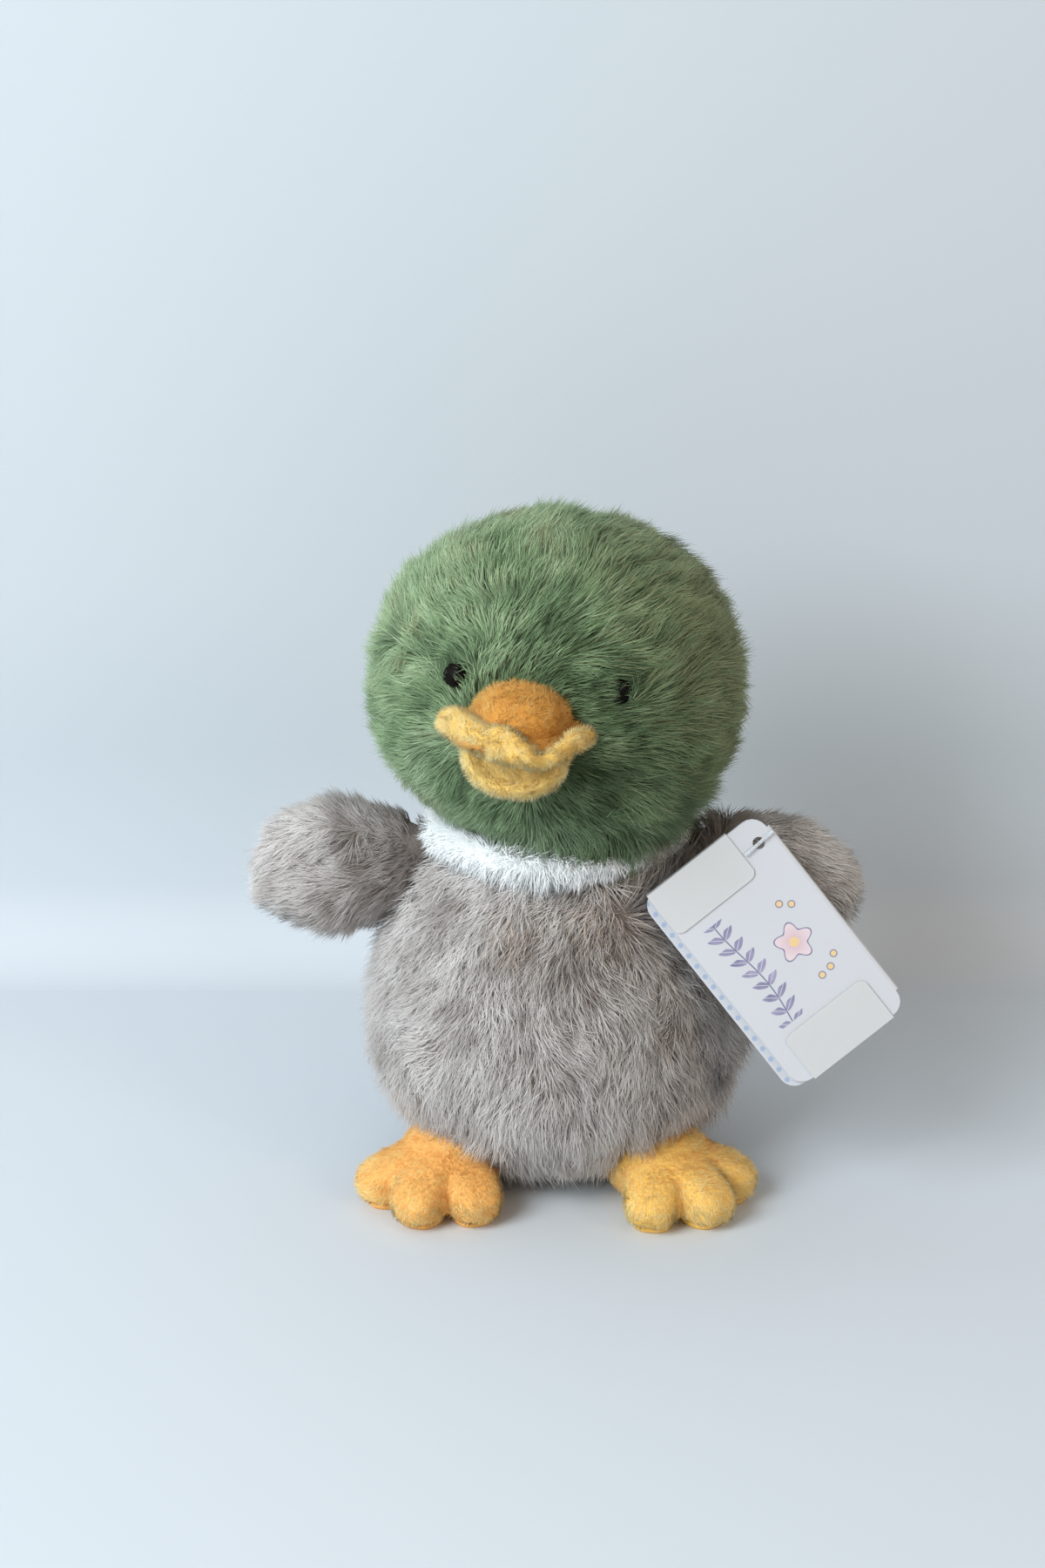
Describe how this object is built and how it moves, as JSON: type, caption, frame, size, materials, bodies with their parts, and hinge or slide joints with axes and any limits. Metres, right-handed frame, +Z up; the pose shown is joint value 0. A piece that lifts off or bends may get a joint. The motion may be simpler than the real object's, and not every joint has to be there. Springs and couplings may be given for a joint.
{
  "type": "plush duck",
  "caption": "Stuffed duck with a large round head, white neck band, short wings, toed feet and a folded card tag on a plastic pin; it stands on a weighted base.",
  "frame": {"origin": "middle of the flat spot that the body stands on", "axes": "+Z up, -Y out of the duck's front, +X to the duck's own left"},
  "size_m": [0.2149, 0.1651, 0.2339],
  "materials": {
    "head_fur": "long green pile",
    "body_fur": "long taupe pile",
    "ring_fur": "white pile",
    "bill_orange": "short orange pile",
    "bill_yellow": "short yellow pile",
    "foot_plush": "short orange pile",
    "sole_cloth": "short orange pile",
    "fibre_fill": "loose white fibre",
    "pouch_cloth": "plain weave",
    "pellets": "matt",
    "eye": "polished",
    "washer": "moulded",
    "card": "coated paper card",
    "seal_film": "clear film",
    "pin_plastic": "clear moulded"
  },
  "bodies": {
    "torso": {"body_cover": "body_fur", "body_stuffing": "fibre_fill", "pellet_pouch": "pouch_cloth", "pellets": "pellets"},
    "neck": {"neck_ring": "ring_fur"},
    "head": {"head_cover": "head_fur", "head_stuffing": "fibre_fill", "upper_bill": "bill_orange", "bill_brim": "bill_yellow", "lower_bill": "bill_yellow", "left_eye": "eye", "right_eye": "eye", "left_eye_washer": "washer", "right_eye_washer": "washer"},
    "left_wing": {"left_wing_cover": "body_fur", "left_wing_stuffing": "fibre_fill", "tag_pin": "pin_plastic"},
    "right_wing": {"right_wing_cover": "body_fur", "right_wing_stuffing": "fibre_fill"},
    "tag": {"tag_card": "card", "tag_seal_top": "seal_film", "tag_seal_bottom": "seal_film"},
    "left_foot": {"left_foot_upper": "foot_plush", "left_foot_sole": "sole_cloth", "left_foot_stuffing": "fibre_fill"},
    "right_foot": {"right_foot_upper": "foot_plush", "right_foot_sole": "sole_cloth", "right_foot_stuffing": "fibre_fill"},
    "tail": {"tail_cover": "body_fur", "tail_stuffing": "fibre_fill"}
  },
  "joints": [
    {"name": "neck_turn", "type": "hinge", "parent": "torso", "child": "neck", "pos_m": [0, 0, 0.116], "axis": [0, 0, 1], "range_deg": [-20, 20], "stiffness_Nm_per_rad": 0.05},
    {"name": "head_nod", "type": "hinge", "parent": "neck", "child": "head", "pos_m": [0, 0, 0.202], "axis": [0.9824, -0.1732, -0.0698], "range_deg": [-8, 8], "stiffness_Nm_per_rad": 0.3},
    {"name": "left_wing_flap", "type": "hinge", "parent": "torso", "child": "left_wing", "pos_m": [0.04906, 0, 0.1], "axis": [0.2079, 0.9781, 0], "range_deg": [-24, 16], "stiffness_Nm_per_rad": 0.1},
    {"name": "right_wing_flap", "type": "hinge", "parent": "torso", "child": "right_wing", "pos_m": [-0.04906, 0, 0.1], "axis": [-0.0698, 0.9976, 0], "range_deg": [-25, 15], "stiffness_Nm_per_rad": 0.1},
    {"name": "left_foot_lift", "type": "hinge", "parent": "torso", "child": "left_foot", "pos_m": [0.02979, -0.03003, 0.015], "axis": [-0.829, -0.5592, 0], "range_deg": [0, 15], "stiffness_Nm_per_rad": 0.05},
    {"name": "right_foot_lift", "type": "hinge", "parent": "torso", "child": "right_foot", "pos_m": [-0.03346, -0.02639, 0.015], "axis": [-0.9336, 0.3584, 0], "range_deg": [0, 15], "stiffness_Nm_per_rad": 0.05},
    {"name": "tail_flex", "type": "hinge", "parent": "torso", "child": "tail", "pos_m": [0, 0.05517, 0.036], "axis": [1, 0, 0], "range_deg": [-15, 15], "stiffness_Nm_per_rad": 0.02},
    {"name": "tag_swing", "type": "hinge", "parent": "left_wing", "child": "tag", "pos_m": [0.06526, -0.03837, 0.13018], "axis": [0, -0.9703, 0.2419], "range_deg": [-10, 70]}
  ]
}
